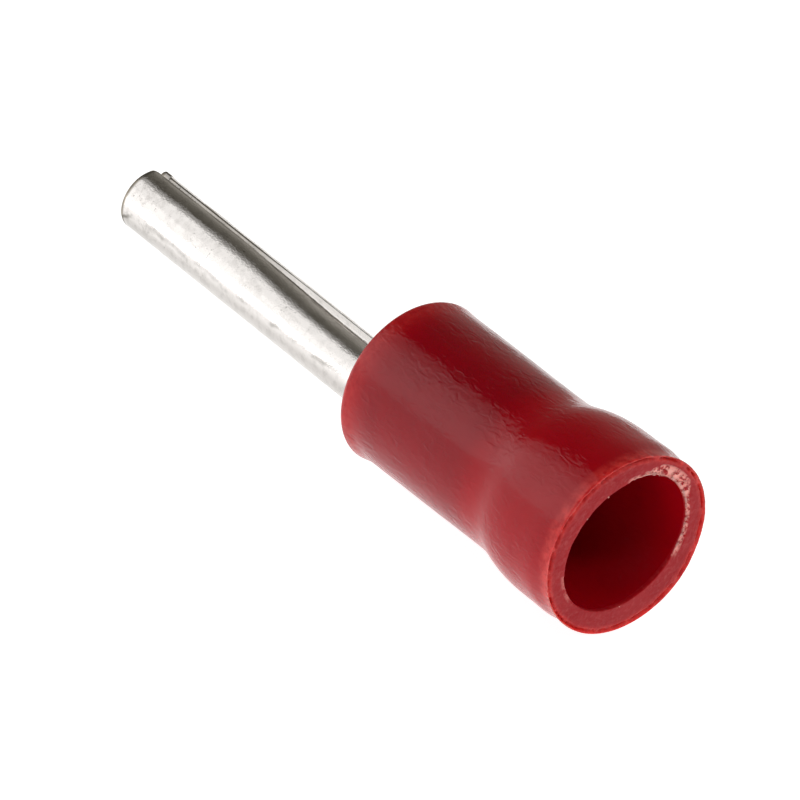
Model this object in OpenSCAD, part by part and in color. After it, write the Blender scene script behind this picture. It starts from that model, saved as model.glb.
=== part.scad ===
// Insulated crimp pin terminal for 0.5 to 1.5 mm2 stranded wire, all sizes in millimetres.
// Two pieces: a terminal cut and rolled from one strip of tinned copper, and a flared vinyl
// tube pushed over its crimp barrel. The part lies on its side: x runs along it with the wire
// mouth at +x and the pin tip at -x, z is up and the rolled seam faces up.

/* [Copper strip] */
// Thickness of the strip the terminal is rolled from
strip_t = 0.75; // [0.6:0.05:0.85]
// Radius on the outer corners of the rolled strip along the pin's seam
strip_edge_r = 0.1; // [0.05:0.05:0.25]

/* [Crimp barrel] */
// Diameter of the wire hole
barrel_bore = 1.8; // [1.6:0.1:2.2]
// Length of the barrel
barrel_len = 4.9; // [4:0.1:7]
// Open joint where the rolled edges of the barrel meet
barrel_joint = 0.08; // [0.04:0.02:0.2]
// Countersink at the wire end of the hole
barrel_lead = 0.15; // [0.05:0.05:0.25]
// Grip grooves round the inside of the barrel
groove_count = 3; // [1:1:4]
// Width of one grip groove
groove_w = 0.4; // [0.2:0.1:0.6]
// Depth of one grip groove
groove_depth = 0.1; // [0.05:0.05:0.2]

/* [Pin] */
// Diameter of the rolled pin
pin_d = 1.9; // [1.7:0.1:2.2]
// Length from the front of the barrel to the tip, neck included
pin_len = 12; // [8:0.5:16]
// Length of the neck between barrel and round pin
neck_len = 1.4; // [1:0.1:2]
// Open joint along the pin's seam
pin_joint = 0.06; // [0.04:0.02:0.2]
// Rounding of the edge at the tip
tip_r = 0.1; // [0.05:0.05:0.3]
// Radius on the strip's two corners at the tip, beside the seam
corner_r = 0.24; // [0.1:0.02:0.4]

/* [Vinyl sleeve] */
// Wall of the vinyl tube
sleeve_wall = 0.8; // [0.5:0.05:1]
// Play between barrel and tube on each side
sleeve_fit = 0.02; // [0.02:0.01:0.06]
// Run of the tube past the front of the barrel
front_lip = 0.4; // [0.2:0.1:1]
// Run of narrow tube behind the barrel, before the flare
funnel_gap = 0.3; // [0.1:0.1:1]
// Inside diameter of the flared mouth
mouth_bore = 4.06; // [3.7:0.02:4.8]
// Straight length of the flared mouth
mouth_len = 1.7; // [1:0.1:3]
// Outside radius of the flare's shoulder
shoulder_r = 5; // [4:0.5:8]
// Outside radius of the hollow at the waist
waist_r = 3; // [1.5:0.5:6]
// Rounding of the tube's front edge
front_edge_r = 0.25; // [0.1:0.05:0.4]
// Rounding of the mouth's outer edge
mouth_edge_r = 0.1; // [0.05:0.05:0.3]

/* [Hidden] */
$fa = 5;
$fs = 0.08;
// Run of a cutting shape past what it cuts
over = 1;
// Overlap that lets the shoulder arc and the waist arc cross cleanly
arc_lap = 0.001;
// How far a rounded strip edge stands past the face that it ends on, so that the two cross cleanly
lip_lap = 0.01;
// Least radius of the hollow that rolling leaves down the pin
least_hole_r = 0.05;

// Rolled terminal: the pin's underside runs on flush from the barrel's
barrel_r = barrel_bore / 2 + strip_t;
pin_r = pin_d / 2;
pin_hole_r = max(pin_r - strip_t, least_hole_r);
pin_drop = barrel_r - pin_r;
neck_fall = pin_drop / neck_len;
round_len = pin_len - neck_len;

// Sleeve: one wall all along, so inner and outer curves share their centres
tube_in_r = barrel_r + sleeve_fit;
tube_r = tube_in_r + sleeve_wall;
mouth_in_r = mouth_bore / 2;
mouth_r = mouth_in_r + sleeve_wall;
flare_rise = mouth_r - tube_r;
flare_reach = shoulder_r + waist_r - arc_lap;
flare_angle = acos((shoulder_r + waist_r - flare_rise) / flare_reach);
flare_end = mouth_len + flare_reach * sin(flare_angle);

// Stations along the part, from the mouth
barrel_back = flare_end + funnel_gap;
barrel_front = barrel_back + barrel_len;
sleeve_len = barrel_front + front_lip;
whole_len = barrel_front + pin_len;

// Lays a piece down that is built along z towards the tip, with its start a distance from the mouth
module lie_down(start) {
    translate([whole_len / 2 - start, 0, mouth_r])
        rotate([90, 0, -90])
            children();
}

// Corner outside a quarter circle, centred on the circle
module edge_cut(r) {
    difference() {
        square(2 * r);
        circle(r);
    }
}

// Leaning cone: its underside stays level while it narrows from barrel to pin
module neck_cone(r_back, r_front) {
    multmatrix([[1, 0, 0, 0], [0, 1, -neck_fall, 0], [0, 0, 1, 0]])
        cylinder(h = neck_len, r1 = r_back, r2 = r_front);
}

// Trough left where the strip narrows from barrel to pin, open at the top
module neck_outside() {
    half_arc = 180 * (pin_r - strip_t / 2) / (barrel_r - strip_t / 2);
    rim_back = -(barrel_r - strip_t / 2) * cos(half_arc);
    rim_front = pin_r - pin_drop - strip_edge_r / 2;
    difference() {
        neck_cone(barrel_r, pin_r);
        translate([barrel_r + over, 0, 0])
            rotate([0, -90, 0])
                linear_extrude(2 * (barrel_r + over))
                    polygon([
                        [0, rim_back],
                        [neck_len, rim_front],
                        [neck_len, barrel_r + over],
                        [0, barrel_r + over]
                    ]);
    }
}

// Seam of the rolled pin: a narrow joint that opens outwards between two rounded strip edges
module seam_section() {
    lip_x = pin_joint / 2 + strip_edge_r;
    lip_at = pin_r - strip_edge_r + lip_lap;
    lip_y = sqrt(lip_at * lip_at - lip_x * lip_x);
    reach = (pin_r + over) / lip_at;
    difference() {
        union() {
            translate([-pin_joint / 2, 0])
                square([pin_joint, pin_r]);
            polygon([
                [-lip_x, lip_y],
                [lip_x, lip_y],
                [lip_x * reach, lip_y * reach],
                [-lip_x * reach, lip_y * reach]
            ]);
        }
        for (side = [-1, 1])
            translate([side * lip_x, lip_y])
                circle(strip_edge_r);
    }
}

// Solid round pin with a rounded tip
module pin_outside() {
    translate([0, -pin_drop, neck_len])
        rotate_extrude()
            difference() {
                square([pin_r, round_len]);
                translate([pin_r - tip_r, round_len - tip_r])
                    edge_cut(tip_r);
            }
}

// Notch that the strip's rounded corners leave at the tip, seen from above the seam
module tip_notch() {
    reach = pin_joint / 2 + corner_r;
    translate([0, pin_r + over, round_len - corner_r])
        rotate([90, 0, 0])
            linear_extrude(pin_r + over)
                difference() {
                    translate([-reach, 0])
                        square([2 * reach, corner_r + over]);
                    for (side = [-1, 1])
                        translate([side * (reach - lip_lap), lip_lap])
                            circle(corner_r);
                }
}

// Hole of the barrel, with its countersink, grip grooves and joint
module barrel_inside() {
    pitch = barrel_len / (groove_count + 1);
    translate([0, 0, -barrel_len - over])
        cylinder(h = barrel_len + over, d = barrel_bore);
    translate([0, 0, -barrel_len])
        cylinder(h = barrel_lead, r1 = barrel_bore / 2 + barrel_lead, r2 = barrel_bore / 2);
    for (i = [1 : groove_count])
        translate([0, 0, -i * pitch - groove_w / 2])
            cylinder(h = groove_w, r = barrel_bore / 2 + groove_depth);
    translate([-barrel_joint / 2, 0, -barrel_len - over])
        cube([barrel_joint, barrel_r + over, barrel_len + over]);
}

// Hollow left down the middle of neck and pin, and the pin's seam
module pin_inside() {
    neck_cone(barrel_bore / 2, pin_hole_r);
    translate([0, -pin_drop, neck_len]) {
        cylinder(h = round_len + over, r = pin_hole_r);
        linear_extrude(round_len + over)
            seam_section();
        tip_notch();
    }
}

// Built from the front of the barrel: barrel behind it, neck and pin ahead
module rolled_terminal() {
    color([0.80, 0.79, 0.76])
        lie_down(barrel_front)
            difference() {
                union() {
                    translate([0, 0, -barrel_len])
                        cylinder(h = barrel_len, r = barrel_r);
                    neck_outside();
                    pin_outside();
                }
                barrel_inside();
                pin_inside();
            }
}

// Space inside one face of the tube: straight mouth, shoulder arc, waist arc and narrow run
module tube_form(narrow, mouth, shoulder, waist, past) {
    meet = mouth_len + shoulder * sin(flare_angle);
    flare_band = [
        [0, mouth_len],
        [mouth + over, mouth_len],
        [mouth + over, flare_end],
        [0, flare_end]
    ];
    difference() {
        union() {
            polygon([[0, -past], [mouth, -past], [mouth, mouth_len], [0, mouth_len]]);
            intersection() {
                translate([mouth - shoulder, mouth_len])
                    circle(shoulder);
                polygon(flare_band);
            }
            polygon([[0, meet], [mouth, meet], [mouth, flare_end], [0, flare_end]]);
            polygon([[0, 0], [narrow, 0], [narrow, sleeve_len + past], [0, sleeve_len + past]]);
        }
        intersection() {
            translate([narrow + waist, flare_end])
                circle(waist);
            polygon(flare_band);
        }
    }
}

module vinyl_sleeve() {
    color([0.63, 0.13, 0.14])
        lie_down(0)
            rotate_extrude()
                difference() {
                    tube_form(tube_r, mouth_r, shoulder_r, waist_r, 0);
                    tube_form(tube_in_r, mouth_in_r, shoulder_r - sleeve_wall,
                        waist_r + sleeve_wall, over);
                    translate([tube_r - front_edge_r, sleeve_len - front_edge_r])
                        edge_cut(front_edge_r);
                    translate([mouth_r - mouth_edge_r, mouth_edge_r])
                        mirror([0, 1])
                            edge_cut(mouth_edge_r);
                }
}

rolled_terminal();
vinyl_sleeve();
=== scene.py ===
import math

import bmesh
import bpy
from mathutils import Matrix, Vector, noise


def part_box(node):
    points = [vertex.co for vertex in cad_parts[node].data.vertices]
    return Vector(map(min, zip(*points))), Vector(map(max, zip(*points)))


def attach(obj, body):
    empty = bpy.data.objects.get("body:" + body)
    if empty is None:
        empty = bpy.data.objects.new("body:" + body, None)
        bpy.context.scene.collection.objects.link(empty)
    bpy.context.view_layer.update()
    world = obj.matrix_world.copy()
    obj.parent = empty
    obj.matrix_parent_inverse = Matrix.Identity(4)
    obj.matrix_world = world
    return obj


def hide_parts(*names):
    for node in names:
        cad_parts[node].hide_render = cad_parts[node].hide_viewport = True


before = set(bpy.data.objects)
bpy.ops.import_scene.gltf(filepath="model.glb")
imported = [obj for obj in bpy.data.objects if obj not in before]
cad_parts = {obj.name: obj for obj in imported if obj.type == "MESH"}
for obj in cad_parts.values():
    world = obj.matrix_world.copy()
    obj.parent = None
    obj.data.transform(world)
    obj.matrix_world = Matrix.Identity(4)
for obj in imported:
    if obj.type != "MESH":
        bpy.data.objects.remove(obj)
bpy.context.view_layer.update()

# Rolled terminal
# One piece of tinned copper strip, cut to width and rolled by machine: a crimp barrel at the
# back, a trough where the strip narrows, and a round pin whose two edges meet in a seam on top.
# Nothing is soldered, so the seam stays a fine open joint, and the sleeve grips the barrel.
MM = 0.001
terminal_lo, terminal_hi = (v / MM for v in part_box("rolled_terminal"))
sleeve_lo, sleeve_hi = (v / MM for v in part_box("vinyl_sleeve"))
axis_z = (sleeve_lo.z + sleeve_hi.z) / 2

# Strip and barrel, in millimetres as all the sizes of the pieces are
strip_t = 0.75
barrel_r = terminal_hi.z - axis_z
barrel_len = 4.9
barrel_joint = 0.08
barrel_lead = 0.15
groove_count, groove_w, groove_depth = 3, 0.4, 0.1

# Neck and pin: the underside runs on flush from the barrel, and the pin is slightly bent and wavy
neck_len = 1.4
pin_r = 0.95
tip_r = 0.09
bend_at_neck, bend_at_tip = -0.05, 0.1
wave_h, wave_len, waves_round = 0.006, 0.8, 1.5

# Seam: turned a little to the far side, wider at the neck, with bevelled and rounded strip edges.
# The near edge sinks towards the neck, and the far corner ends short of the tip.
seam_turn = math.radians(-4)
seam_inside, seam_at_tip, seam_at_neck = 0.03, 0.15, 0.22
bevel_slope = 1.5
near_corner_r, far_corner_r, far_back = 0.24, 0.25, 0.38
near_lip_r, trough_lip_r = 0.05, 0.03
far_lip_at_neck, far_lip_at_tip = 0.03, 0.065
near_sink, sink_from, sink_to = 0.17, 6.9, 1.9
sink_reach = math.radians(85)

# How bare the strip's edges are: little at the neck, more from a distance along the pin, most at the tip
cut_at_neck, cut_at_tip, cut_from, cut_to = 0.18, 0.55, 3.6, 6.4
cut_at_corner = 0.6
worn_from, worn_to = 0.19, 0.09

barrel_front = terminal_hi.x - barrel_len
neck_front = barrel_front - neck_len
far_end = terminal_lo.x + far_back
straight_len = neck_front - far_end - far_corner_r
under_z = axis_z - barrel_r
wire_hole_r = barrel_r - strip_t
arc_steps, lip_steps, edge_steps, barrel_steps = 144, 8, 8, 24
neck_steps, pin_steps, corner_steps, end_steps, tip_steps = 20, 90, 16, 10, 8
merge_within = 1e-5
sharp_from = math.radians(35)
quarter = math.pi / 2


def smooth(a, b, v):
    """A soft step that goes from 0 at a to 1 at b."""
    t = min(max((v - a) / (b - a), 0.0), 1.0)
    return t * t * (3 - 2 * t)


def mix(a, b, t):
    return a + (b - a) * t


def on_arc(r, angle, centre_z):
    """A point of a circle across the part, its angle counted from straight down."""
    return Vector((r * math.sin(angle), centre_z - r * math.cos(angle)))


def half_span(r, joint):
    """Half the angle that a rolled strip spans where its edges leave a joint of that width."""
    return math.pi - math.asin(joint / 2 / r)


def lip_curve(radii, halves, centre_z, lip, side):
    """The strip's edge from its outside, by the foot of its bevel, to its inside, its corner rounded."""
    corner, foot, inside = (on_arc(r, side * half, centre_z) for r, half in zip(radii, halves))
    start = on_arc(radii[0], side * (halves[0] - lip / radii[0]), centre_z)
    end = corner + (foot - corner).normalized() * lip
    points = []
    for i in range(1, lip_steps + 1):
        t = i / lip_steps
        points.append(start * (1 - t) ** 2 + corner * (2 * t * (1 - t)) + end * t ** 2)
    for i in range(1, edge_steps):
        t = 2 * i / edge_steps
        points.append(end.lerp(foot, t) if t <= 1 else foot.lerp(inside, t - 1))
    return points


def neck_section(x):
    """The strip's section at x: outer arc, far edge, inner arc and near edge."""
    straight = min(max((barrel_front - x) / neck_len, 0.0), 1.0)
    closed = smooth(0, 1, (barrel_front - x) / neck_len)
    along = min(max((neck_front - x) / (neck_front - terminal_lo.x), 0.0), 1.0)
    outer_r = mix(barrel_r, pin_r, straight)
    inner_r = outer_r - strip_t
    centre_z = under_z + outer_r
    opening = mix(seam_at_tip, seam_at_neck, (1 - along) ** 2)
    bevel = bevel_slope * opening / 2
    joints = ((pin_r, opening), (pin_r - bevel, seam_inside), (pin_r - strip_t, seam_inside))
    width = (pin_r - strip_t / 2) / (barrel_r - strip_t / 2)
    halves = {}
    for side, corner_r, set_back in ((1, far_corner_r, far_back), (-1, near_corner_r, 0.0)):
        from_tip = min(max(x - terminal_lo.x - set_back, 0.0), corner_r)
        recess = corner_r - math.sqrt(corner_r ** 2 - (corner_r - from_tip) ** 2)
        halves[side] = [mix(math.pi * width, half_span(*joint), closed) - recess / pin_r for joint in joints]
    far_lip_r = mix(far_lip_at_neck, far_lip_at_tip, smooth(cut_from, cut_to, neck_front - x))
    lips = {1: mix(trough_lip_r, far_lip_r, closed), -1: mix(trough_lip_r, near_lip_r, closed)}
    round_off = terminal_lo.x + tip_r - x
    if round_off > 0:
        outer_r -= tip_r - math.sqrt(max(tip_r ** 2 - round_off ** 2, 0.0))
    centre_z += closed * mix(bend_at_neck, bend_at_tip, along)
    turn = closed * seam_turn
    sink = closed * near_sink * smooth(sink_from, sink_to, neck_front - x)
    start, end = lips[-1] / outer_r - halves[-1][0], halves[1][0] - lips[1] / outer_r
    outer = []
    for i in range(arc_steps + 1):
        angle = start + (end - start) * i / arc_steps
        at = Vector((x / wave_len, waves_round * math.sin(angle), waves_round * math.cos(angle)))
        wave = wave_h * closed * (noise.noise(at) + 1)
        dip = sink * smooth(sink_reach, 0, math.pi + angle) if angle < 0 else 0.0
        outer.append(on_arc(outer_r - dip - wave, angle + turn, centre_z))
    far_in, near_in = halves[1][-1], -halves[-1][-1]
    inner = [on_arc(inner_r, far_in + (near_in - far_in) * i / arc_steps + turn, centre_z)
             for i in range(arc_steps + 1)]
    spin = Matrix.Rotation(turn, 2)
    centre = Vector((0, centre_z))
    edges = {}
    for side, edge_r in ((1, outer_r), (-1, outer_r - sink)):
        radii = (edge_r, edge_r - bevel, inner_r)
        curve = lip_curve(radii, halves[side], centre_z, lips[side], side)
        edges[side] = [centre + spin @ (p - centre) for p in curve]
    return outer, edges[1], inner, edges[-1][::-1]


verts, faces, sheared = [], [], []


def ring(x, points, bare=0.0):
    """Adds the points of a section at x and gives their numbers."""
    first = len(verts)
    verts.extend((x * MM, p.x * MM, p.y * MM) for p in points)
    sheared.extend([bare] * len(points))
    return list(range(first, len(verts)))


def band(one, two):
    """Joins two closed rings of as many points."""
    n = len(one)
    for i in range(n):
        faces.append((one[i], one[(i + 1) % n], two[(i + 1) % n], two[i]))


stations = [barrel_front - neck_len * i / neck_steps for i in range(neck_steps)]
stations += [neck_front - straight_len * i / pin_steps for i in range(pin_steps)]
stations += [far_end + far_corner_r * (1 - math.sin(quarter * i / corner_steps))
             for i in range(corner_steps)]
stations += [far_end - (far_back - tip_r) * i / end_steps for i in range(end_steps)]
stations += [terminal_lo.x + tip_r * (1 - math.sin(quarter * i / tip_steps)) for i in range(tip_steps + 1)]
neck_rings = []
for x in stations:
    outer, far_lip, inner, near_lip = neck_section(x)
    worn = smooth(terminal_lo.x + worn_from, terminal_lo.x + worn_to, x)
    cut = max(worn, mix(cut_at_neck, cut_at_tip, smooth(cut_from, cut_to, neck_front - x)))
    cut_far = max(cut, cut_at_corner * smooth(far_end + far_corner_r, far_end, x))
    strip_parts = ((outer, worn), (far_lip, cut_far), (inner, worn), (near_lip, cut))
    neck_rings.append([i for points, bare in strip_parts for i in ring(x, points, bare)])
for one, two in zip(neck_rings, neck_rings[1:]):
    band(one, two)


def parts_of(neck_ring):
    """A ring's outer arc, far edge, inner arc in the order of the outer one, and near edge."""
    outer_end = arc_steps + 1
    lip_end = outer_end + lip_steps + edge_steps - 1
    inner_end = lip_end + arc_steps + 1
    inner_arc = neck_ring[lip_end:inner_end][::-1]
    return neck_ring[:outer_end], neck_ring[outer_end:lip_end], inner_arc, neck_ring[inner_end:]


# Flat sheared face at the pin's tip, from its outer round to its inner one
tip_out, tip_far, tip_in, tip_near = parts_of(neck_rings[-1])
for i in range(arc_steps):
    faces.append((tip_out[i], tip_out[i + 1], tip_in[i + 1], tip_in[i]))
faces.append([tip_out[-1], *tip_far, tip_in[-1]])
faces.append([tip_in[0], *tip_near, tip_out[0]])

# Barrel: its lower arcs are those of the trough, and the rest of its round closes over them
trough_out, trough_far, trough_in, trough_near = parts_of(neck_rings[0])


def angle_of(index):
    return math.atan2(verts[index][1] / MM, axis_z - verts[index][2] / MM)


def barrel_angles(arc, r):
    """Angles round the barrel at a radius: one side above the trough, the trough's arc, the other side."""
    low = [angle_of(i) for i in arc]
    end = half_span(r, barrel_joint)
    up = [low[-1] + (end - low[-1]) * i / barrel_steps for i in range(1, barrel_steps + 1)]
    return [-a for a in reversed(up)], low, up


def front_ring(r, angles, arc):
    """The barrel's front edge at a radius, which takes in the trough's own points."""
    sides = [ring(barrel_front, [on_arc(r, a, axis_z) for a in angles[k]]) for k in (0, 2)]
    return sides[0] + arc + sides[1]


out_angles = barrel_angles(trough_out, barrel_r)
in_angles = barrel_angles(trough_in, wire_hole_r)
pitch = barrel_len / (groove_count + 1)
barrel_line = [(terminal_hi.x, wire_hole_r + barrel_lead), (terminal_hi.x - barrel_lead, wire_hole_r)]
for i in range(groove_count, 0, -1):
    mid = barrel_front + i * pitch
    barrel_line += [(mid + groove_w / 2, wire_hole_r), (mid + groove_w / 2, wire_hole_r + groove_depth),
                    (mid - groove_w / 2, wire_hole_r + groove_depth), (mid - groove_w / 2, wire_hole_r)]
barrel_rings = []
for x, inside_r in barrel_line:
    outside = ring(x, [on_arc(barrel_r, a, axis_z) for part in out_angles for a in part])
    inside = ring(x, [on_arc(inside_r, a, axis_z) for part in in_angles for a in part])
    barrel_rings.append((outside, inside))
front_out = front_ring(barrel_r, out_angles, trough_out)
front_in = front_ring(wire_hole_r, in_angles, trough_in)
barrel_rings.append((front_out, front_in))
for (out_1, in_1), (out_2, in_2) in zip(barrel_rings, barrel_rings[1:]):
    band(out_1 + in_1[::-1], out_2 + in_2[::-1])
back_out, back_in = barrel_rings[0]
for i in range(len(back_out) - 1):
    faces.append((back_out[i + 1], back_out[i], back_in[i], back_in[i + 1]))
for i in range(barrel_steps - 1):
    j = len(front_out) - 2 - i
    faces.append((front_out[i], front_out[i + 1], front_in[i + 1], front_in[i]))
    faces.append((front_out[j], front_out[j + 1], front_in[j + 1], front_in[j]))

# The two faces where the trough's edges run into the barrel's front
near, far = barrel_steps, len(front_out) - 1 - barrel_steps
faces.append([front_out[near - 1], front_out[near], *reversed(trough_near),
              front_in[near], front_in[near - 1]])
faces.append([front_out[far], front_out[far + 1], front_in[far + 1], front_in[far],
              *reversed(trough_far)])

terminal_mesh = bpy.data.meshes.new("tinned_terminal")
terminal_mesh.from_pydata(verts, [], faces)
terminal_mesh.attributes.new("sheared", "FLOAT", "POINT").data.foreach_set("value", sheared)
shell = bmesh.new()
shell.from_mesh(terminal_mesh)
bmesh.ops.remove_doubles(shell, verts=shell.verts, dist=merge_within * MM)
bmesh.ops.recalc_face_normals(shell, faces=shell.faces)
shell.to_mesh(terminal_mesh)
shell.free()
terminal_mesh.shade_smooth()
terminal_mesh.set_sharp_from_angle(angle=sharp_from)


def add_object(name, data):
    made = bpy.data.objects.new(name, data)
    bpy.context.scene.collection.objects.link(made)
    return made


terminal = add_object("tinned_terminal", terminal_mesh)


def linear(hex_colour):
    """An sRGB hex colour as linear RGBA."""
    parts = [int(hex_colour[i:i + 2], 16) / 255 for i in (1, 3, 5)]
    return [c / 12.92 if c <= 0.04045 else ((c + 0.055) / 1.055) ** 2.4 for c in parts] + [1.0]


def add_node(tree, kind, links=None, **settings):
    """Adds a node, sets it up and feeds its inputs from values, sockets or other nodes' first outputs."""
    made = tree.nodes.new(kind)
    for name, value in settings.items():
        setattr(made, name, value)
    for key, value in (links or {}).items():
        if isinstance(value, bpy.types.Node):
            value = value.outputs[0]
        if isinstance(value, bpy.types.NodeSocket):
            tree.links.new(value, made.inputs[key])
        else:
            made.inputs[key].default_value = value
    return made


# Bright tin on copper, electroplated before the strip was cut: a near mirror with a fine grain
# that frays what it reflects towards the neck, smears that deepen where the tip was handled, a
# painted shade on the underside, darker tin that stands in for the shadowed table it mirrors, dark
# pits, a dark wavy line along the near side that dives and darkens at the tip, and bare, warmer
# metal with shear streaks at the cut edges and the tip. The finest grain of the plate would not
# show, so it is drawn about two pixels wide.
tin_bright, tin_smear_and_shade, pit_and_line_colour = "#EAE6E3", "#BEBAB6", "#5F5A51"
cut_dark, cut_warm = "#5B564D", "#7E7059"
grain_w, grain_h, grain_from = 0.05, 0.012, 1.0
patch_w, smear_w, pit_w = 0.8, 0.3, 0.09
shear_streak = (0.3, 0.05, 0.6)
handled_len, under_drop = 2.6, 0.35
# A dark wavy line along the near side: width, drop below the pin's middle and sway, the sides where it
# shows, and its dive at the tip: reach, drop, narrowing and darkening
dark_line_w, dark_line_drop, dark_line_sway, sway_len = 0.13, 0.02, 0.7, 1.6
line_side_from, line_side_to = 0.62, 0.78
tip_dive_len, tip_dive_drop, tip_thinning, tip_darkening = 0.7, 0.42, 0.05, 0.8
pits_by_patch, fewer_at_neck = 0.25, 0.12
cut_cover, cut_dulling = 0.9, 0.3
pin_z = under_z + pin_r
line_z = pin_z - dark_line_drop + dark_line_sway / 2
tin = bpy.data.materials.new("bright_tin_plate")
tin.use_nodes = True
tree = tin.node_tree
tree.nodes.clear()
coord = add_node(tree, "ShaderNodeTexCoord")
in_mm = add_node(tree, "ShaderNodeMapping", {"Vector": coord.outputs["Object"], "Scale": (1 / MM,) * 3})
xyz = add_node(tree, "ShaderNodeSeparateXYZ", {"Vector": in_mm})
grain = add_node(tree, "ShaderNodeTexNoise", {
    "Vector": in_mm, "Scale": 1 / grain_w, "Detail": 2, "Roughness": 0.6})
patch = add_node(tree, "ShaderNodeTexNoise", {
    "Vector": in_mm, "Scale": 1 / patch_w, "Detail": 4, "Roughness": 0.6})
to_neck = add_node(tree, "ShaderNodeMapRange", {
    "Value": xyz.outputs["X"], "From Min": terminal_lo.x + grain_from, "From Max": barrel_front,
    "To Min": 0.2, "To Max": 0.65})
patchy = add_node(tree, "ShaderNodeMapRange", {
    "Value": patch, "From Min": 0.38, "From Max": 0.62, "To Max": 0.35}, interpolation_type="SMOOTHSTEP")
coarse = add_node(tree, "ShaderNodeMath", {0: patchy, 1: to_neck}, operation="ADD")
centred = add_node(tree, "ShaderNodeMath", {0: grain, 1: 0.5}, operation="SUBTRACT")
grit = add_node(tree, "ShaderNodeMath", {0: centred, 1: coarse}, operation="MULTIPLY")
smear = add_node(tree, "ShaderNodeTexNoise", {
    "Vector": in_mm, "Scale": 1 / smear_w, "Detail": 6, "Roughness": 0.65})
smear_mask = add_node(tree, "ShaderNodeMapRange", {
    "Value": smear, "From Min": 0.48, "From Max": 0.75, "To Max": 0.5})
near_side = add_node(tree, "ShaderNodeMapRange", {
    "Value": xyz.outputs["Y"], "From Min": -line_side_from, "From Max": -line_side_to})
# Painted shade: the tin darkens towards the underside, in place of the shadowed table that it mirrors there
under_shade = add_node(tree, "ShaderNodeMapRange", {
    "Value": xyz.outputs["Z"], "From Min": pin_z, "From Max": pin_z - under_drop, "To Max": 0.8},
    interpolation_type="SMOOTHSTEP")
handled = add_node(tree, "ShaderNodeMapRange", {
    "Value": xyz.outputs["X"], "From Min": terminal_lo.x + handled_len, "From Max": terminal_lo.x,
    "To Min": 1.0, "To Max": 2.4}, interpolation_type="SMOOTHSTEP")
smear_and_under_shade = add_node(tree, "ShaderNodeMath", {
    0: smear_mask, 1: handled, 2: under_shade}, operation="MULTIPLY_ADD", use_clamp=True)
pits = add_node(tree, "ShaderNodeTexNoise", {
    "Vector": in_mm, "Scale": 1 / pit_w, "Detail": 4, "Roughness": 0.65})
pit_here = add_node(tree, "ShaderNodeMath", {0: patch, 1: pits_by_patch, 2: pits}, operation="MULTIPLY_ADD")
pit_less = add_node(tree, "ShaderNodeMath", {
    0: to_neck, 1: -fewer_at_neck, 2: pit_here}, operation="MULTIPLY_ADD")
pit_mask = add_node(tree, "ShaderNodeMapRange", {
    "Value": pit_less, "From Min": 0.74, "From Max": 0.82, "To Max": 0.75})
# The dark wavy line, which dives, narrows and darkens towards the tip
sway = add_node(tree, "ShaderNodeTexNoise", {
    "W": xyz.outputs["X"], "Scale": 1 / sway_len, "Detail": 3, "Roughness": 0.5}, noise_dimensions="1D")
line_sway = add_node(tree, "ShaderNodeMath", {
    0: sway, 1: dark_line_sway, 2: xyz.outputs["Z"]}, operation="MULTIPLY_ADD")
at_tip = add_node(tree, "ShaderNodeMapRange", {
    "Value": xyz.outputs["X"], "From Min": terminal_lo.x + tip_dive_len, "From Max": terminal_lo.x})
line_dive = add_node(tree, "ShaderNodeMath", {
    0: at_tip, 1: tip_dive_drop, 2: line_sway}, operation="MULTIPLY_ADD")
line_off = add_node(tree, "ShaderNodeMath", {0: line_dive, 1: line_z}, operation="SUBTRACT")
line_far = add_node(tree, "ShaderNodeMath", {0: line_off}, operation="ABSOLUTE")
line_w = add_node(tree, "ShaderNodeMath", {
    0: at_tip, 1: -tip_thinning, 2: dark_line_w}, operation="MULTIPLY_ADD")
on_line = add_node(tree, "ShaderNodeMapRange", {
    "Value": line_far, "From Min": line_w, "From Max": 0.0}, interpolation_type="SMOOTHSTEP")
line_near = add_node(tree, "ShaderNodeMath", {0: on_line, 1: near_side}, operation="MULTIPLY")
# How dark the line is: in patches along it, and more so at the tip
line_patches = add_node(tree, "ShaderNodeMapRange", {
    "Value": patch, "From Min": 0.42, "From Max": 0.62, "To Min": 0.06, "To Max": 0.5})
line_darkness = add_node(tree, "ShaderNodeMath", {
    0: at_tip, 1: tip_darkening, 2: line_patches}, operation="MULTIPLY_ADD", use_clamp=True)
line_mask = add_node(tree, "ShaderNodeMath", {0: line_near, 1: line_darkness}, operation="MULTIPLY")
pits_and_line = add_node(tree, "ShaderNodeMath", {0: line_mask, 1: pit_mask}, operation="MAXIMUM")
cut_edge = add_node(tree, "ShaderNodeAttribute", attribute_name="sheared")
cut_mask = add_node(tree, "ShaderNodeMath", {0: cut_edge.outputs["Fac"], 1: cut_cover}, operation="MULTIPLY")
# Plain tin, turning to the darker tone where smears lie and as painted shade on the underside
tone = add_node(tree, "ShaderNodeMix", {
    0: smear_and_under_shade, 6: linear(tin_bright), 7: linear(tin_smear_and_shade)}, data_type="RGBA")
sheared_down = add_node(tree, "ShaderNodeMapping", {"Vector": in_mm, "Scale": [1 / w for w in shear_streak]})
streak = add_node(tree, "ShaderNodeTexNoise", {
    "Vector": sheared_down, "Scale": 1.0, "Detail": 3, "Roughness": 0.6})
streaky = add_node(tree, "ShaderNodeMapRange", {"Value": streak, "From Min": 0.35, "From Max": 0.65})
bare_metal = add_node(tree, "ShaderNodeMix", {
    0: streaky, 6: linear(cut_dark), 7: linear(cut_warm)}, data_type="RGBA")
plated = add_node(tree, "ShaderNodeMix", {
    0: cut_mask, 6: tone.outputs[2], 7: bare_metal.outputs[2]}, data_type="RGBA")
pitted = add_node(tree, "ShaderNodeMix", {
    0: pits_and_line, 6: plated.outputs[2], 7: linear(pit_and_line_colour)}, data_type="RGBA")
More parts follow.
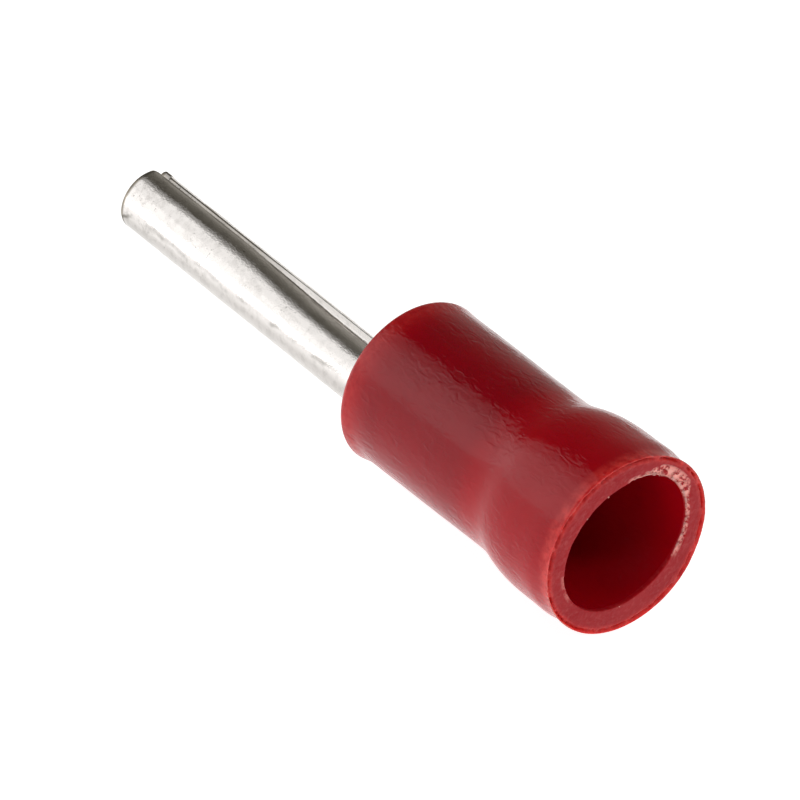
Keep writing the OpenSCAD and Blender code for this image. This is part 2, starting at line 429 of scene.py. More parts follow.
dull = add_node(tree, "ShaderNodeMapRange", {
    "Value": smear, "From Min": 0.4, "From Max": 0.75, "To Min": 0.04, "To Max": 0.14})
dull_cut = add_node(tree, "ShaderNodeMath", {0: cut_mask, 1: cut_dulling, 2: dull}, operation="MULTIPLY_ADD")
grained = add_node(tree, "ShaderNodeBump", {"Height": grit, "Strength": 1.0, "Distance": grain_h * MM})
plate = add_node(tree, "ShaderNodeBsdfPrincipled", {
    "Base Color": pitted.outputs[2], "Metallic": 1.0, "Roughness": dull_cut, "Normal": grained})
add_node(tree, "ShaderNodeOutputMaterial", {"Surface": plate})
terminal_mesh.materials.append(tin)
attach(terminal, "root")
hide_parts("rolled_terminal")

# Vinyl sleeve
# A length of red PVC tube pushed over the barrel. Its wire end was heated and flared on a
# mandrel, which leaves a soft waist, and the mouth was cut off with a blade that left a
# rolled lip, a broken groove inside it and a torn, whitened strip along the bore's edge.
wall = 0.8
tube_r = 2.47
mouth_r = sleeve_hi.z - axis_z
mouth_len = 1.7
mouth_taper = 0.03
shoulder_r, waist_r = 5.0, 3.0
front_edge_r = 0.25
mouth_back = 0.006
lip_round = 0.06
groove_in, groove_half_w = 0.16, 0.04
inner_edge_r = 0.025
front_steps, rim_steps, inner_steps = 10, 8, 6
sleeve_len = sleeve_hi.x - sleeve_lo.x
flare_angle = math.acos((shoulder_r + waist_r - (mouth_r - tube_r)) / (shoulder_r + waist_r))
flare_end = mouth_len + (shoulder_r + waist_r) * math.sin(flare_angle)
flare_meet = mouth_len + shoulder_r * math.sin(flare_angle)
mouth_bore_r = mouth_r - wall
crest, groove_r = mouth_r - lip_round, mouth_r - groove_in

# Reach of the cut rim's unevenness, and of the glow painted at the narrow ends, from the mouth or the front
rim_from, rim_to = 0.9, 0.2
mouth_glow_from, mouth_glow_to = 0.5, 0.1
front_glow, front_glow_from, front_glow_to = 0.4, 0.9, 0.3
lip_glow_in = 0.2

# Way from the bore's edge, which decides what is torn: down the bore it counts fourfold, and points
# elsewhere are far off. The bore is finely divided near its edge.
bore_stretch, far_off = 4, 9.0
fine_bore_len = 0.35


def tube_line(s, inset):
    """Radius of the tube's wall at a distance s from the mouth, a given depth inside it."""
    if s <= mouth_len:
        return mouth_r - inset - mouth_taper * smooth(0, mouth_len, s) * (inset == 0)
    if s <= flare_meet:
        bow = shoulder_r - inset
        r = mouth_r - shoulder_r + math.sqrt(bow ** 2 - (s - mouth_len) ** 2)
        return r - mouth_taper * smooth(flare_meet, mouth_len, s) * (inset == 0)
    if s <= flare_end:
        bow = waist_r + inset
        return tube_r + waist_r - math.sqrt(bow ** 2 - (flare_end - s) ** 2)
    return tube_r - inset


def steps(a, b, size):
    """Places from a up to just short of b, about as far apart as size."""
    n = max(1, round(abs(b - a) / size))
    return [a + (b - a) * i / n for i in range(n)]


section = []


def wall_point(s, r, outside=0, rim=0, groove=0, bore=0, painted_glow=0, from_edge=far_off):
    """A point of the wall's section: its distance from the mouth and its radius, how far it belongs to
    the outside, the cut rim, the groove in the cut face, the bore and the narrow edges where a glow is
    painted in, and its way from the bore's edge."""
    section.append((s, r, outside, rim, groove, bore, painted_glow, from_edge))


# Front edge, outside, rolled lip, cut face, inner edge, bore and front face, in this order
for i in range(front_steps):
    t = quarter * i / front_steps
    wall_point(sleeve_len - front_edge_r * (1 - math.cos(t)), tube_r - front_edge_r * (1 - math.sin(t)),
               outside=math.sin(t), painted_glow=front_glow)
for s in steps(sleeve_len - front_edge_r, mouth_back + lip_round, size=0.2):
    at_front = front_glow * smooth(sleeve_len - front_glow_from, sleeve_len - front_glow_to, s)
    wall_point(s, tube_line(s, 0), outside=1, rim=smooth(rim_from, rim_to, s),
               painted_glow=at_front + smooth(mouth_glow_from, mouth_glow_to, s))
for i in range(rim_steps + 1):
    t = quarter * i / rim_steps
    wall_point(mouth_back + lip_round * (1 - math.sin(t)), mouth_r - lip_round * (1 - math.cos(t)),
               outside=math.cos(t), rim=1, painted_glow=1)
for r in steps(crest, mouth_bore_r + inner_edge_r, size=0.018)[1:]:
    wall_point(mouth_back, r, rim=1, groove=math.exp(-((r - groove_r) / groove_half_w) ** 2),
               bore=(crest - r) / (crest - mouth_bore_r),
               painted_glow=smooth(groove_r - lip_glow_in, groove_r, r), from_edge=r - mouth_bore_r)
for i in range(inner_steps + 1):
    t = quarter * i / inner_steps
    wall_point(mouth_back + inner_edge_r * (1 - math.cos(t)),
               mouth_bore_r + inner_edge_r * (1 - math.sin(t)),
               rim=1, bore=1, from_edge=inner_edge_r * (1 - i / inner_steps))
fine_bore = steps(mouth_back + inner_edge_r, fine_bore_len, size=0.03)[1:]
for s in fine_bore + steps(fine_bore_len, mouth_len, size=0.15):
    wall_point(s, tube_line(s, wall), rim=smooth(rim_from, rim_to, s), bore=smooth(mouth_len, 0, s),
               from_edge=bore_stretch * (s - mouth_back))
for s in steps(mouth_len, flare_end, size=0.2) + steps(flare_end, sleeve_len, size=0.4):
    wall_point(s, tube_line(s, wall))
for r in steps(tube_r - wall, tube_r - front_edge_r, size=0.1):
    wall_point(sleeve_len, r, painted_glow=front_glow)

section_mesh = bpy.data.meshes.new("sleeve_section")
section_mesh.from_pydata([((sleeve_hi.x - s) * MM, (r - tube_r) * MM, 0) for s, r, *_ in section],
                         [(i, (i + 1) % len(section)) for i in range(len(section))], [])
marked = ("outside", "rim", "groove", "bore", "painted_glow", "from_edge")
for k, name in enumerate(marked):
    layer = section_mesh.attributes.new(name, "FLOAT", "POINT")
    layer.data.foreach_set("value", [p[2 + k] for p in section])
sleeve_draft = add_object("sleeve_section", section_mesh)

# Soft PVC, extruded, satin: red right through, with a painted shade that deepens the red where metal
# backs it and less light comes back through, and a broad pale sheen that fine slanting wrinkles break
# up. It lets a little light in, and a glow is painted at its narrow edges; its cut face is matt with a
# few pale specks, and it whitens where it tore.
red_pale, red_dark = "#AA0312", "#940314"
backed_pale, backed_dark = "#960212", "#820212"
glow_red, speck_pink, torn_pink = "#DE443E", "#E07A74", "#FFB2A8"
wrinkle_len, wrinkle_w, wrinkle_h = 0.4, 0.2, 0.023
wrinkle_slant = math.radians(6)
cloud_w, clump_w, skin_w = 1.3, 0.22, 0.14
skin_share = 0.15
backed_fade, front_fade_from, front_fade_to = 0.5, 0.1, 1.1
face_from, face_to, face_matt = 0.2, 0.1, 0.35
scatter_len = 0.5
vinyl = bpy.data.materials.new("soft_red_pvc_extruded")
vinyl.use_nodes = True
tree = vinyl.node_tree
tree.nodes.clear()
coord = add_node(tree, "ShaderNodeTexCoord")
in_mm = add_node(tree, "ShaderNodeMapping", {"Vector": coord.outputs["Object"], "Scale": (1 / MM,) * 3})
drawn = add_node(tree, "ShaderNodeMapping", {
    "Vector": in_mm, "Rotation": (0, 0, wrinkle_slant),
    "Scale": (1 / wrinkle_len, 1 / wrinkle_w, 1 / wrinkle_w)})
wrinkle = add_node(tree, "ShaderNodeTexNoise", {
    "Vector": drawn, "Scale": 1.0, "Detail": 1, "Roughness": 0.5, "Distortion": 0.9})
cloud = add_node(tree, "ShaderNodeTexNoise", {
    "Vector": in_mm, "Scale": 1 / cloud_w, "Detail": 4, "Roughness": 0.55})
skin = add_node(tree, "ShaderNodeTexNoise", {
    "Vector": in_mm, "Scale": 1 / skin_w, "Detail": 3, "Roughness": 0.6})
xyz = add_node(tree, "ShaderNodeSeparateXYZ", {"Vector": in_mm})
# Painted shade: the red is deepened over the barrel, where the metal behind the wall sends less light back
# through it
backed_from = add_node(tree, "ShaderNodeMapRange", {
    "Value": xyz.outputs["X"], "From Min": terminal_hi.x + backed_fade,
    "From Max": terminal_hi.x - backed_fade}, interpolation_type="SMOOTHSTEP")
backed_to = add_node(tree, "ShaderNodeMapRange", {
    "Value": xyz.outputs["X"], "From Min": barrel_front - front_fade_from,
    "From Max": barrel_front + front_fade_to}, interpolation_type="SMOOTHSTEP")
backed_shade_at = add_node(tree, "ShaderNodeMath", {0: backed_from, 1: backed_to}, operation="MULTIPLY")
torn = add_node(tree, "ShaderNodeAttribute", attribute_name="whitened")
# Painted glow: the narrow edges are lightened towards an orange red, in clumps, as if light shone through
# them
painted_glow = add_node(tree, "ShaderNodeAttribute", attribute_name="painted_glow")
clump = add_node(tree, "ShaderNodeTexNoise", {
    "Vector": in_mm, "Scale": 1 / clump_w, "Detail": 3, "Roughness": 0.6})
clumpy = add_node(tree, "ShaderNodeMapRange", {
    "Value": clump, "From Min": 0.35, "From Max": 0.65, "To Min": 0.15, "To Max": 0.7})
glow = add_node(tree, "ShaderNodeMath", {0: painted_glow.outputs["Fac"], 1: clumpy}, operation="MULTIPLY")
at_mouth = add_node(tree, "ShaderNodeMapRange", {
    "Value": xyz.outputs["X"], "From Min": sleeve_hi.x - face_from, "From Max": sleeve_hi.x - face_to})
on_tube = add_node(tree, "ShaderNodeAttribute", attribute_name="outside")
on_face = add_node(tree, "ShaderNodeMath", {
    0: at_mouth, 1: on_tube.outputs["Fac"]}, operation="SUBTRACT", use_clamp=True)
crust = add_node(tree, "ShaderNodeMapRange", {
    "Value": skin, "From Min": 0.5, "From Max": 0.72, "To Max": 0.13})
speck = add_node(tree, "ShaderNodeMath", {0: crust, 1: on_face}, operation="MULTIPLY")
red = add_node(tree, "ShaderNodeMix", {0: cloud, 6: linear(red_pale), 7: linear(red_dark)}, data_type="RGBA")
# The red deepened by painted shade over the barrel
backed_shade = add_node(tree, "ShaderNodeMix", {
    0: cloud, 6: linear(backed_pale), 7: linear(backed_dark)}, data_type="RGBA")
base = add_node(tree, "ShaderNodeMix", {0: backed_shade_at, 6: red.outputs[2], 7: backed_shade.outputs[2]}, data_type="RGBA")
# Painted glow at the narrow edges
lit = add_node(tree, "ShaderNodeMix", {0: glow, 6: base.outputs[2], 7: linear(glow_red)}, data_type="RGBA")
specked = add_node(tree, "ShaderNodeMix", {
    0: speck, 6: lit.outputs[2], 7: linear(speck_pink)}, data_type="RGBA")
whitened = add_node(tree, "ShaderNodeMix", {
    0: torn.outputs["Fac"], 6: specked.outputs[2], 7: linear(torn_pink)}, data_type="RGBA")
satin = add_node(tree, "ShaderNodeMapRange", {
    "Value": cloud, "From Min": 0.3, "From Max": 0.7, "To Min": 0.14, "To Max": 0.21})
wrinkled = add_node(tree, "ShaderNodeMapRange", {
    "Value": cloud, "From Min": 0.38, "From Max": 0.62, "To Min": 0.35}, interpolation_type="SMOOTHERSTEP")
signed = add_node(tree, "ShaderNodeMath", {0: wrinkle, 1: 0.5}, operation="SUBTRACT")
wrinkles = add_node(tree, "ShaderNodeMath", {0: signed, 1: wrinkled}, operation="MULTIPLY")
relief = add_node(tree, "ShaderNodeMath", {0: skin, 1: skin_share, 2: wrinkles}, operation="MULTIPLY_ADD")
surface = add_node(tree, "ShaderNodeBump", {"Height": relief, "Strength": 1.0, "Distance": wrinkle_h * MM})
cut_rough = add_node(tree, "ShaderNodeMath", {0: on_face, 1: face_matt, 2: satin}, operation="MULTIPLY_ADD")
pvc = add_node(tree, "ShaderNodeBsdfPrincipled", {
    "Base Color": whitened.outputs[2], "Roughness": cut_rough, "IOR": 1.5, "Specular IOR Level": 0.26,
    "Subsurface Weight": 0.4, "Subsurface Radius": (1.0, 0.1, 0.08), "Subsurface Scale": scatter_len * MM,
    "Normal": surface})
add_node(tree, "ShaderNodeOutputMaterial", {"Surface": pvc})

# The tree sweeps the section round the part's axis, then makes uneven what heat and blade left so.
# Angles round the mouth count from straight up towards the far side, and a phase is added to them.
oval_phase, shift_phase, proud_phase = math.radians(-86), math.radians(50), math.radians(-155)
lean_way = (0, 0.53, 0.848)
bulge_from, bulge_to = 0.65, 0.25
swell_w, nick_w, grit_w, tuft_w = 2.6, 0.3, 0.11, 0.2
bulge_sharpness = 4.0
no_limit = 1.0
left_share, paling, crumb_paling = 0.05, 1.6, 0.7
burr_from, burr_to, crumbs_from = 0.11, 0.04, 0.07
least_crumb, most_crumb = (0.4,) * 3, (1.3,) * 3
full_turn = 6.28

# Patterns that go by the way out from the axis, or lie on a crumb, count waves to a radius: these are
# about 1.3, 0.57 and 0.03 mm long
wavers_to_radius, breaks_to_radius, dents_to_radius = 2.2, 5.0, 1.1

# Arcs of the bore's edge that tore, with the degrees where each fades in and where it fades out
tear_arcs = (
    ("line", (-18, 0), (95, 108)),
    ("wide", (-6, 16), (42, 58)),
    ("left", (-138, -130), (-114, -106)))

sweep = bpy.data.node_groups.new("flared_tube", "GeometryNodeTree")
sweep.interface.new_socket("Geometry", in_out="OUTPUT", socket_type="NodeSocketGeometry")
sweep.interface.new_socket("Section", in_out="INPUT", socket_type="NodeSocketGeometry")

# Lengths are in metres, apart from the tear's line and width, which are in millimetres as from_edge is
sizes = {
    "Steps round": 480,
    "Middle radius": tube_r * MM,
    "Unevenness": 0.03 * MM,
    "Rim waver": 0.03 * MM,
    "Groove depth": 0.12 * MM,
    "Bore opening": 0.03 * MM,
    "Bore ovalness": 0.1 * MM,
    "Bore shift": 0.05 * MM,
    "Mouth shift": 0.035 * MM,
    "Front shift": 0.03 * MM,
    "Front bulge": 0.055 * MM,
    "Rim ovalness": 0.035 * MM,
    "Rim raggedness": 0.045 * MM,
    "Face grain": 0.02 * MM,
    "Tear depth": 0.07 * MM,
    "Tear line": 0.16,
    "Tear width": 0.3,
    "Crumb size": 0.03 * MM,
    "Crumb density": 45 / MM ** 2,
    "Seed": 7,
}
socket_ids = {}
for name, value in sizes.items():
    kind = "NodeSocketInt" if isinstance(value, int) else "NodeSocketFloat"
    socket_ids[name] = sweep.interface.new_socket(name, in_out="INPUT", socket_type=kind).identifier
given = add_node(sweep, "NodeGroupInput").outputs
profile = add_node(sweep, "GeometryNodeMeshToCurve", {"Mesh": given["Section"]})
hoop = add_node(sweep, "GeometryNodeCurvePrimitiveCircle", {
    "Resolution": given["Steps round"], "Radius": given["Middle radius"]})
across = add_node(sweep, "GeometryNodeTransform", {"Geometry": hoop, "Rotation": (0, quarter, 0)})
swept = add_node(sweep, "GeometryNodeCurveToMesh", {"Curve": across, "Profile Curve": profile})
tube = add_node(sweep, "GeometryNodeFlipFaces", {"Mesh": swept})
place = add_node(sweep, "GeometryNodeInputPosition")
xyz = add_node(sweep, "ShaderNodeSeparateXYZ", {"Vector": place})
flat = add_node(sweep, "ShaderNodeCombineXYZ", {"Y": xyz.outputs["Y"], "Z": xyz.outputs["Z"]})
outward = add_node(sweep, "ShaderNodeVectorMath", {0: flat}, operation="NORMALIZE")
around = add_node(sweep, "ShaderNodeMath", {0: xyz.outputs["Y"], 1: xyz.outputs["Z"]}, operation="ARCTAN2")
marks = {name: add_node(sweep, "GeometryNodeInputNamedAttribute", {"Name": name}, data_type="FLOAT")
         for name in marked}

# Wavering outside, oval and shifted bore, oval and ragged rim
swell = add_node(sweep, "ShaderNodeTexNoise", {"Vector": place, "Scale": 1 / (swell_w * MM), "Detail": 2})
inward = add_node(sweep, "ShaderNodeMath", {0: swell, 1: given["Unevenness"]}, operation="MULTIPLY")
inward_at = add_node(sweep, "ShaderNodeMath", {0: inward, 1: marks["outside"]}, operation="MULTIPLY")
oval_turn = add_node(sweep, "ShaderNodeMath", {0: around, 1: 2.0, 2: oval_phase}, operation="MULTIPLY_ADD")
oval = add_node(sweep, "ShaderNodeMath", {0: oval_turn}, operation="COSINE")
oval_by = add_node(sweep, "ShaderNodeMath", {
    0: oval, 1: given["Bore ovalness"], 2: given["Bore opening"]}, operation="MULTIPLY_ADD")
shift_turn = add_node(sweep, "ShaderNodeMath", {0: around, 1: shift_phase}, operation="ADD")
shift = add_node(sweep, "ShaderNodeMath", {0: shift_turn}, operation="COSINE")
bore_by = add_node(sweep, "ShaderNodeMath", {
    0: shift, 1: given["Bore shift"], 2: oval_by}, operation="MULTIPLY_ADD")
bore_at = add_node(sweep, "ShaderNodeMath", {0: bore_by, 1: marks["bore"]}, operation="MULTIPLY")
rim_oval = add_node(sweep, "ShaderNodeMath", {
    0: oval, 1: given["Rim ovalness"], 2: given["Rim ovalness"]}, operation="MULTIPLY_ADD")
rim_out = add_node(sweep, "ShaderNodeMath", {0: marks["rim"], 1: marks["outside"]}, operation="MULTIPLY")
nick = add_node(sweep, "ShaderNodeTexNoise", {
    "Vector": place, "Scale": 1 / (nick_w * MM), "Detail": 3, "Roughness": 0.6})
rim_by = add_node(sweep, "ShaderNodeMath", {
    0: nick, 1: given["Rim raggedness"], 2: rim_oval}, operation="MULTIPLY_ADD")
rim_in = add_node(sweep, "ShaderNodeMath", {0: rim_by, 1: rim_out, 2: inward_at}, operation="MULTIPLY_ADD")
out_by = add_node(sweep, "ShaderNodeMath", {0: bore_at, 1: rim_in}, operation="SUBTRACT")

# Slight bulge at the front edge, and a lean of the mouth one way and of the front the other
fronted = add_node(sweep, "ShaderNodeMapRange", {
    "Value": xyz.outputs["X"], "From Min": (sleeve_lo.x + bulge_from) * MM,
    "From Max": (sleeve_lo.x + bulge_to) * MM}, interpolation_type="SMOOTHSTEP")
sideways = add_node(sweep, "ShaderNodeVectorMath", {0: outward, 1: lean_way}, operation="DOT_PRODUCT")
either_way = add_node(sweep, "ShaderNodeMath", {
    0: sideways.outputs["Value"], 1: bulge_sharpness}, operation="POWER")
bulge_at = add_node(sweep, "ShaderNodeMath", {0: fronted, 1: either_way}, operation="MULTIPLY")
bulge_out = add_node(sweep, "ShaderNodeMath", {0: bulge_at, 1: marks["outside"]}, operation="MULTIPLY")
out_all = add_node(sweep, "ShaderNodeMath", {
    0: bulge_out, 1: given["Front bulge"], 2: out_by}, operation="MULTIPLY_ADD")
moved = add_node(sweep, "ShaderNodeVectorMath", {0: outward, "Scale": out_all}, operation="SCALE")
flared = add_node(sweep, "ShaderNodeMapRange", {
    "Value": xyz.outputs["X"], "From Min": (sleeve_hi.x - flare_end) * MM,
    "From Max": (sleeve_hi.x - flare_meet) * MM}, interpolation_type="SMOOTHSTEP")
lean = add_node(sweep, "ShaderNodeMath", {0: flared, 1: given["Mouth shift"]}, operation="MULTIPLY")
front_lean = add_node(sweep, "ShaderNodeMath", {0: bulge_at, 1: given["Front shift"]}, operation="MULTIPLY")
lean_all = add_node(sweep, "ShaderNodeMath", {0: lean, 1: front_lean}, operation="SUBTRACT")
leant = add_node(sweep, "ShaderNodeVectorMath", {0: lean_way, "Scale": lean_all}, operation="SCALE")
moved_all = add_node(sweep, "ShaderNodeVectorMath", {0: moved, 1: leant}, operation="ADD")
shaped = add_node(sweep, "GeometryNodeSetPosition", {"Geometry": tube, "Offset": moved_all})

# Cut of the mouth: it wavers and is gritty, less so on the side that stands proud, and is scored
cut_wave = add_node(sweep, "ShaderNodeTexNoise", {"Vector": outward, "Scale": wavers_to_radius, "Detail": 3})
nicked = add_node(sweep, "ShaderNodeMath", {0: nick, 1: given["Rim raggedness"]}, operation="MULTIPLY")
cut_back = add_node(sweep, "ShaderNodeMath", {
    0: cut_wave, 1: given["Rim waver"], 2: nicked}, operation="MULTIPLY_ADD")
face_grit = add_node(sweep, "ShaderNodeTexNoise", {
    "Vector": place, "Scale": 1 / (grit_w * MM), "Detail": 2, "Roughness": 0.6})
gritty = add_node(sweep, "ShaderNodeMath", {
    0: face_grit, 1: given["Face grain"], 2: cut_back}, operation="MULTIPLY_ADD")
proud_turn = add_node(sweep, "ShaderNodeMath", {0: around, 1: proud_phase}, operation="ADD")
proud_side = add_node(sweep, "ShaderNodeMath", {0: proud_turn}, operation="COSINE")
proud = add_node(sweep, "ShaderNodeMapRange", {
    "Value": proud_side, "From Min": 0.45, "From Max": 0.85, "To Min": 1.0, "To Max": 0.15},
    interpolation_type="SMOOTHSTEP")
cut_rim = add_node(sweep, "ShaderNodeMath", {0: gritty, 1: proud}, operation="MULTIPLY")
cut_at = add_node(sweep, "ShaderNodeMath", {0: cut_rim, 1: marks["rim"]}, operation="MULTIPLY")
broken = add_node(sweep, "ShaderNodeTexNoise", {
    "Vector": outward, "Scale": breaks_to_radius, "Detail": 4, "Roughness": 0.7})
broken_on = add_node(sweep, "ShaderNodeMapRange", {"Value": broken, "From Min": 0.4, "From Max": 0.56})
scored = add_node(sweep, "ShaderNodeMath", {0: broken_on, 1: given["Groove depth"]}, operation="MULTIPLY")
scored_at = add_node(sweep, "ShaderNodeMath", {0: scored, 1: marks["groove"]}, operation="MULTIPLY")
back_by = add_node(sweep, "ShaderNodeMath", {0: cut_at, 1: scored_at}, operation="ADD")
back_x = add_node(sweep, "ShaderNodeMath", {0: back_by, 1: -1.0}, operation="MULTIPLY")
back_off = add_node(sweep, "ShaderNodeCombineXYZ", {"X": back_x})
rimmed = add_node(sweep, "GeometryNodeSetPosition", {"Geometry": shaped, "Offset": back_off})

# Torn strip along the bore's edge, sunk and whitened
arc = {}
for name, fade_in, fade_out in tear_arcs:
    rise = add_node(sweep, "ShaderNodeMapRange", {
        "Value": around, "From Min": math.radians(fade_in[0]), "From Max": math.radians(fade_in[1])},
        interpolation_type="SMOOTHSTEP")
    fall = add_node(sweep, "ShaderNodeMapRange", {
        "Value": around, "From Min": math.radians(fade_out[1]), "From Max": math.radians(fade_out[0])},
        interpolation_type="SMOOTHSTEP")
    arc[name] = add_node(sweep, "ShaderNodeMath", {0: rise, 1: fall}, operation="MULTIPLY")
tear_w = add_node(sweep, "ShaderNodeMath", {
    0: arc["wide"], 1: given["Tear width"], 2: given["Tear line"]}, operation="MULTIPLY_ADD")
near_edge = add_node(sweep, "ShaderNodeMapRange", {
    "Value": marks["from_edge"], "From Min": tear_w, "From Max": 0.0})
left_less = add_node(sweep, "ShaderNodeMath", {0: arc["left"], 1: left_share}, operation="MULTIPLY")
torn_arc = add_node(sweep, "ShaderNodeMath", {0: arc["line"], 1: left_less}, operation="MAXIMUM")
tear_zone = add_node(sweep, "ShaderNodeMath", {0: torn_arc, 1: near_edge}, operation="MULTIPLY")
ragged = add_node(sweep, "ShaderNodeTexNoise", {
    "Vector": place, "Scale": 1 / (tuft_w * MM), "Detail": 3, "Roughness": 0.6, "Distortion": 0.8})
ragged_on = add_node(sweep, "ShaderNodeMapRange", {"Value": ragged, "From Min": 0.43, "From Max": 0.53})
zone_root = add_node(sweep, "ShaderNodeMath", {0: tear_zone, 1: 0.5}, operation="POWER")
tufts = add_node(sweep, "ShaderNodeMath", {0: zone_root, 1: ragged_on}, operation="MULTIPLY")
at_edge = add_node(sweep, "ShaderNodeMapRange", {
    "Value": marks["from_edge"], "From Min": burr_from, "From Max": burr_to})
burr = add_node(sweep, "ShaderNodeMath", {0: at_edge, 1: arc["line"]}, operation="MULTIPLY")
burr_on = add_node(sweep, "ShaderNodeMapRange", {"Value": face_grit, "From Min": 0.38, "From Max": 0.52})
burr_by = add_node(sweep, "ShaderNodeMath", {0: burr, 1: burr_on}, operation="MULTIPLY")
tear = add_node(sweep, "ShaderNodeMath", {0: tufts, 1: burr_by}, operation="MAXIMUM")
paled = add_node(sweep, "ShaderNodeMath", {0: tear, 1: paling}, operation="MULTIPLY", use_clamp=True)
facing = add_node(sweep, "GeometryNodeInputNormal")
tear_in = add_node(sweep, "ShaderNodeMath", {0: tear, 1: -1.0}, operation="MULTIPLY")
tear_by = add_node(sweep, "ShaderNodeMath", {0: tear_in, 1: given["Tear depth"]}, operation="MULTIPLY")
sunk = add_node(sweep, "ShaderNodeVectorMath", {0: facing, "Scale": tear_by}, operation="SCALE")
ripped = add_node(sweep, "GeometryNodeSetPosition", {"Geometry": rimmed, "Offset": sunk})
stained = add_node(sweep, "GeometryNodeStoreNamedAttribute", {
    "Geometry": ripped, "Name": "whitened", "Value": paled}, data_type="FLOAT", domain="POINT")

# Crumbs of torn vinyl, thick on the torn strip and sparse along the rest of the bore's edge
edge_all = add_node(sweep, "ShaderNodeMapRange", {
    "Value": marks["from_edge"], "From Min": crumbs_from, "From Max": 0.0, "To Max": 0.08})
strewn_on = add_node(sweep, "ShaderNodeMath", {0: tear_zone, 1: edge_all}, operation="MAXIMUM")
thick = add_node(sweep, "ShaderNodeMath", {0: strewn_on, 1: given["Crumb density"]}, operation="MULTIPLY")
spots = add_node(sweep, "GeometryNodeDistributePointsOnFaces", {
    "Mesh": stained, "Density": thick, "Seed": given["Seed"]})
lump = add_node(sweep, "GeometryNodeMeshIcoSphere", {"Radius": 1.0, "Subdivisions": 1})
on_lump = add_node(sweep, "GeometryNodeInputPosition")
dent = add_node(sweep, "ShaderNodeTexNoise", {"Vector": on_lump, "Scale": dents_to_radius})
dent_out = add_node(sweep, "ShaderNodeVectorMath", {
    0: dent.outputs["Color"], 1: (0.5, 0.5, 0.5)}, operation="SUBTRACT")
crumb = add_node(sweep, "GeometryNodeSetPosition", {"Geometry": lump, "Offset": dent_out})
any_turn = add_node(sweep, "FunctionNodeRandomValue", {
    0: (0, 0, 0), 1: (full_turn,) * 3, "Seed": given["Seed"]}, data_type="FLOAT_VECTOR")
any_size = add_node(sweep, "FunctionNodeRandomValue", {
    0: least_crumb, 1: most_crumb, "Seed": given["Seed"]}, data_type="FLOAT_VECTOR")
crumb_size = add_node(sweep, "ShaderNodeVectorMath", {
    0: any_size, "Scale": given["Crumb size"]}, operation="SCALE")
strewn = add_node(sweep, "GeometryNodeInstanceOnPoints", {
    "Points": spots.outputs["Points"], "Instance": crumb, "Rotation": any_turn, "Scale": crumb_size})
loose = add_node(sweep, "GeometryNodeRealizeInstances", {"Geometry": strewn})
white = add_node(sweep, "GeometryNodeStoreNamedAttribute", {
    "Geometry": loose, "Name": "whitened", "Value": crumb_paling}, data_type="FLOAT", domain="POINT")
both = add_node(sweep, "GeometryNodeJoinGeometry")
for part in (white, stained):
    sweep.links.new(part.outputs[0], both.inputs[0])

# Up to the part's axis, with nothing past the plane of the mouth
raised = add_node(sweep, "GeometryNodeTransform", {"Geometry": both, "Translation": (0, 0, axis_z * MM)})
at_now = add_node(sweep, "GeometryNodeInputPosition")
behind = add_node(sweep, "ShaderNodeVectorMath", {
    0: at_now, 1: (sleeve_hi.x * MM, no_limit, no_limit)}, operation="MINIMUM")
trimmed = add_node(sweep, "GeometryNodeSetPosition", {"Geometry": raised, "Position": behind})
soft = add_node(sweep, "GeometryNodeSetShadeSmooth", {"Geometry": trimmed})
whole = add_node(sweep, "GeometryNodeRealizeInstances", {"Geometry": soft})
dressed = add_node(sweep, "GeometryNodeSetMaterial", {"Geometry": whole, "Material": vinyl})
add_node(sweep, "NodeGroupOutput", {0: dressed})
modifier = sleeve_draft.modifiers.new("flared_tube", "NODES")
modifier.node_group = sweep
for name, value in sizes.items():
    modifier[socket_ids[name]] = value
seen = sleeve_draft.evaluated_get(bpy.context.evaluated_depsgraph_get())
sleeve_mesh = bpy.data.meshes.new_from_object(seen)
sleeve_mesh.name = "flared_sleeve"
# The section's mesh brings an empty first slot along
sleeve_mesh.materials.pop(index=0)
sleeve = add_object("flared_sleeve", sleeve_mesh)
bpy.data.objects.remove(sleeve_draft)
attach(sleeve, "root")
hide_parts("vinyl_sleeve")

# Floor, light and camera
# The part lies on a plain pale table that glows, which keeps it white. Long soft boxes on the near
# side and smaller ones behind and before the mouth light it, and a dim room above shows as the
# dark band along the pin. Places and sizes of the lights are in metres.
floor_half = 2.0
table_grey, table_light, table_glow = "#BEBEBE", "#FFFFFF", 0.93
floor_mesh = bpy.data.meshes.new("pale_floor")
floor_corners = [(sx * floor_half, sy * floor_half, 0) for sx, sy in ((-1, -1), (1, -1), (1, 1), (-1, 1))]
floor_mesh.from_pydata(floor_corners, [], [(0, 1, 2, 3)])
floor = add_object("pale_floor", floor_mesh)

# White acrylic sheet, sanded matt: an even field with soft shadows and no reflections
acrylic = bpy.data.materials.new("matt_white_acrylic")
acrylic.use_nodes = True
sheet = acrylic.node_tree.nodes["Principled BSDF"]
sheet.inputs["Base Color"].default_value = linear(table_grey)
sheet.inputs["Roughness"].default_value = 0.7
sheet.inputs["Emission Color"].default_value = linear(table_light)
sheet.inputs["Emission Strength"].default_value = table_glow
floor_mesh.materials.append(acrylic)


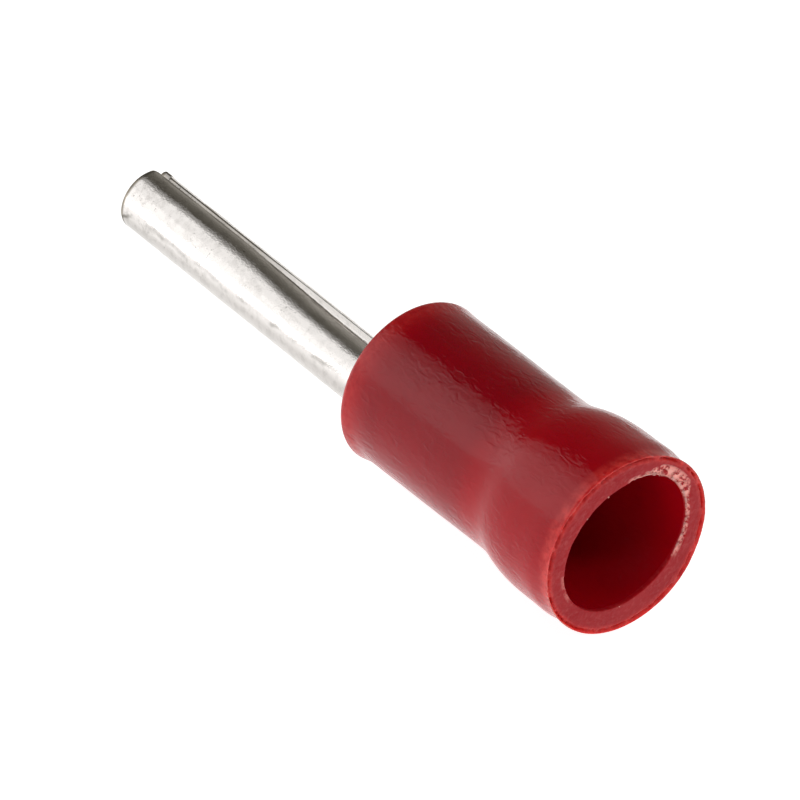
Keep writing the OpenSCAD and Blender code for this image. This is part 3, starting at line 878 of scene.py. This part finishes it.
def soft_box(name, at, width, length, radiance, face=None, only=()):
    """A panel light along the part, which it faces if not told how, for all or only some objects."""
    lamp = bpy.data.lights.new(name, "AREA")
    lamp.shape = "RECTANGLE"
    lamp.size, lamp.size_y = length, width
    lamp.energy = radiance * math.pi * width * length
    holder = add_object(name, lamp)
    back = -face if face else Vector((0, at.y, at.z)).normalized()
    side = Vector((1, 0, 0))
    facing_part = Matrix((side, back.cross(side), back)).transposed().to_4x4()
    holder.matrix_world = Matrix.Translation(at) @ facing_part
    holder.visible_camera = False
    if only:
        lit_alone = bpy.data.collections.new(name + "_receivers")
        for piece in only:
            lit_alone.objects.link(piece)
        holder.light_linking.receiver_collection = lit_alone


# Panels that the bright pin and the satin sleeve mirror to the camera, a set for each: angle about
# the part's axis from straight back over the top, half the angle that they span, and radiance.
# The pin's set lights the table as well.
mirror_lean = 0.818
box_reach, box_len, box_lead = 0.2, 0.6, 0.215
panel_sets = (
    ("pin", (terminal, floor), ((101, 7, 0.32), (128, 20, 1.0), (164, 16, 1.2))),
    ("sleeve", (sleeve,), ((118, 8, 0.85), (137, 11, 1.65), (163, 15, 1.95))))
for name, only, panels in panel_sets:
    for middle, half, radiance in panels:
        turn_to = math.radians(middle)
        towards = Vector((-mirror_lean, math.cos(turn_to), math.sin(turn_to)))
        spot = towards * box_reach - Vector((box_lead, 0, 0))
        width = 2 * box_reach * math.tan(math.radians(half))
        soft_box(f"{name}_panel_{middle}", spot, width, box_len, radiance, only=only)
soft_box("front_fill", at=Vector((0.225, -0.43, 0.12)), width=0.3, length=0.4, radiance=1.6)
soft_box("table_card", at=Vector((-0.028, -0.0175, 0.00005)), width=0.025, length=0.044, radiance=1.35,
         face=Vector((0, 0, 1)), only=(terminal,))
soft_box("back_light", at=Vector((0.15, 0.37, 0.3)), width=0.3, length=0.3, radiance=1.3)
soft_box("mouth_light", at=Vector((0.28, 0.08, 0.42)), width=0.15, length=0.15, radiance=9.0)

# Room: dim on the near side and overhead, lighter towards the back
room_stops = ((0.0, "#403D36"), (0.6, "#6A6760"), (1.0, "#B4B0A8"))
room = bpy.data.worlds.new("dim_room")
room.use_nodes = True
walls = room.node_tree
look = add_node(walls, "ShaderNodeTexCoord")
look_xyz = add_node(walls, "ShaderNodeSeparateXYZ", {"Vector": look.outputs["Generated"]})
to_back = add_node(walls, "ShaderNodeMapRange", {
    "Value": look_xyz.outputs["Y"], "From Min": -0.15, "From Max": 0.75})
shade = add_node(walls, "ShaderNodeValToRGB", {"Fac": to_back})
shade.color_ramp.elements.new(room_stops[1][0])
for mark, (stop, colour) in zip(shade.color_ramp.elements, room_stops):
    mark.position = stop
    mark.color = linear(colour)
walls.links.new(shade.outputs[0], walls.nodes["Background"].inputs["Color"])
bpy.context.scene.world = room
bpy.context.scene.view_settings.view_transform = "Standard"

# Long lens from beyond the mouth on the near side, looking down, with the picture turned a little
view_from = Vector((0.62592, -0.66138, 0.41328))
image_right = Vector((0.61648, 0.74417, 0.25723))
image_up = view_from.cross(image_right)
eye = Vector((346.48, -365.14, 230.26)) * MM
camera = bpy.data.cameras.new("camera")
camera.sensor_width = 36
camera.lens = 900
camera.clip_end = 10
viewer = add_object("camera", camera)
looking = Matrix((image_right, image_up, view_from)).transposed().to_4x4()
viewer.matrix_world = Matrix.Translation(eye) @ looking
bpy.context.scene.camera = viewer
